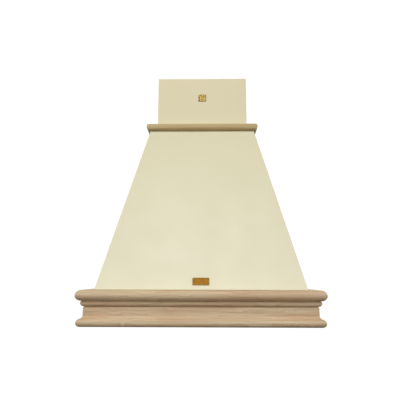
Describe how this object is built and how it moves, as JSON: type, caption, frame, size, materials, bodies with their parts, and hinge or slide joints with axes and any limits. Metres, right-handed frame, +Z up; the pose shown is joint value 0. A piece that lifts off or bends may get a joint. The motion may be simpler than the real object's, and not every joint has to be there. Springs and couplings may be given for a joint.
{
  "type": "wall range hood cover",
  "caption": "Tapered wooden wall hood with moulded cornice, telescopic chimney, filters, blower and duct collar.",
  "frame": {"origin": "on the wall plane, on the centre line, at the underside of the cornice", "axes": "+Z up, +X to the right seen from the front, +Y into the wall; the front faces -Y"},
  "size_m": [0.6, 0.5, 0.7423],
  "materials": {
    "painted_board": "satin ivory paint on board",
    "raw_beech": "sanded, unfinished beech",
    "carcass_wood": "sawn and planed softwood",
    "brass_plate": "polished, slightly toned",
    "stainless_sheet": "brushed",
    "galvanised_sheet": "galvanised, dull",
    "zinc_screws": "zinc plated",
    "filter_aluminium": "natural, expanded mesh and folded rim",
    "latch_plastic": "moulded black",
    "lamp_chrome": "satin chrome",
    "lamp_glass": "frosted",
    "black_plastic": "moulded, fine texture",
    "button_plastic": "moulded ivory",
    "fan_steel": "galvanised sheet",
    "motor_steel": "dark enamel",
    "shaft_steel": "ground"
  },
  "bodies": {
    "cover": {"front_panel": "painted_board", "left_side_panel": "painted_board", "right_side_panel": "painted_board", "cornice_front": "raw_beech", "cornice_left": "raw_beech", "cornice_right": "raw_beech", "top_trim_front": "raw_beech", "top_trim_left": "raw_beech", "top_trim_right": "raw_beech", "base_front_board": "carcass_wood", "base_left_board": "carcass_wood", "base_right_board": "carcass_wood", "base_rear_rail": "carcass_wood", "corner_blocks": "carcass_wood", "top_front_batten": "carcass_wood", "top_left_batten": "carcass_wood", "top_right_batten": "carcass_wood", "hanging_rail": "carcass_wood", "brass_badge": "brass_plate", "liner_tray": "stainless_sheet", "motor_box": "galvanised_sheet", "scroll_wall": "galvanised_sheet", "scroll_left_side": "galvanised_sheet", "scroll_right_side": "galvanised_sheet", "duct_collar": "galvanised_sheet", "motor_bracket": "galvanised_sheet", "frame_screws": "zinc_screws", "tray_screws": "zinc_screws", "collar_screws": "zinc_screws", "left_lamp_bezel": "lamp_chrome", "right_lamp_bezel": "lamp_chrome", "left_lamp_lens": "lamp_glass", "right_lamp_lens": "lamp_glass", "button_bezel": "black_plastic", "switch_block": "black_plastic", "terminal_box": "black_plastic", "cable_gland": "black_plastic", "motor_body": "motor_steel", "damper_rod": "shaft_steel"},
    "fan": {"impeller": "fan_steel", "motor_shaft": "shaft_steel"},
    "front_flap": {"front_damper_flap": "black_plastic"},
    "rear_flap": {"rear_damper_flap": "black_plastic"},
    "chimney": {"chimney_front": "painted_board", "chimney_left_side": "painted_board", "chimney_right_side": "painted_board", "chimney_bracket": "galvanised_sheet", "chimney_screws": "zinc_screws", "chimney_emblem": "brass_plate"},
    "left_filter": {"left_filter_frame": "filter_aluminium", "left_filter_mesh": "filter_aluminium"},
    "right_filter": {"right_filter_frame": "filter_aluminium", "right_filter_mesh": "filter_aluminium"},
    "left_latch": {"left_filter_latch": "latch_plastic"},
    "right_latch": {"right_filter_latch": "latch_plastic"},
    "light": {"light_button": "button_plastic"},
    "off": {"off_button": "button_plastic"},
    "speed_1": {"speed_1_button": "button_plastic"},
    "speed_2": {"speed_2_button": "button_plastic"},
    "speed_3": {"speed_3_button": "button_plastic"}
  },
  "joints": [
    {"name": "chimney_slide", "type": "slide", "parent": "cover", "child": "chimney", "axis": [0, 0, 1], "range_m": [0, 0.24]},
    {"name": "fan_spin", "type": "hinge", "parent": "cover", "child": "fan", "pos_m": [0, -0.2, 0.17], "axis": [1, 0, 0], "continuous": true},
    {"name": "front_flap_swing", "type": "hinge", "parent": "cover", "child": "front_flap", "pos_m": [0, -0.119, 0.3152], "axis": [-1, 0, 0], "range_deg": [0, 75]},
    {"name": "rear_flap_swing", "type": "hinge", "parent": "cover", "child": "rear_flap", "pos_m": [0, -0.119, 0.3152], "axis": [1, 0, 0], "range_deg": [0, 75]},
    {"name": "left_filter_tilt", "type": "hinge", "parent": "cover", "child": "left_filter", "pos_m": [-0.12, -0.042, 0.0235], "axis": [1, 0, 0], "range_deg": [0, 75]},
    {"name": "left_latch_slide", "type": "slide", "parent": "left_filter", "child": "left_latch", "axis": [0, 1, 0], "range_m": [0, 0.007], "stiffness_N_per_m": 300, "springref_m": -0.003},
    {"name": "right_filter_tilt", "type": "hinge", "parent": "cover", "child": "right_filter", "pos_m": [0.12, -0.042, 0.0235], "axis": [1, 0, 0], "range_deg": [0, 75]},
    {"name": "right_latch_slide", "type": "slide", "parent": "right_filter", "child": "right_latch", "axis": [0, 1, 0], "range_m": [0, 0.007], "stiffness_N_per_m": 300, "springref_m": -0.003},
    {"name": "light_press", "type": "slide", "parent": "cover", "child": "light", "axis": [0, 0, 1], "range_m": [0, 0.0035], "stiffness_N_per_m": 400, "springref_m": -0.002},
    {"name": "off_press", "type": "slide", "parent": "cover", "child": "off", "axis": [0, 0, 1], "range_m": [0, 0.0035], "stiffness_N_per_m": 400, "springref_m": -0.002},
    {"name": "speed_1_press", "type": "slide", "parent": "cover", "child": "speed_1", "axis": [0, 0, 1], "range_m": [0, 0.0035], "stiffness_N_per_m": 400, "springref_m": -0.002},
    {"name": "speed_2_press", "type": "slide", "parent": "cover", "child": "speed_2", "axis": [0, 0, 1], "range_m": [0, 0.0035], "stiffness_N_per_m": 400, "springref_m": -0.002},
    {"name": "speed_3_press", "type": "slide", "parent": "cover", "child": "speed_3", "axis": [0, 0, 1], "range_m": [0, 0.0035], "stiffness_N_per_m": 400, "springref_m": -0.002}
  ]
}
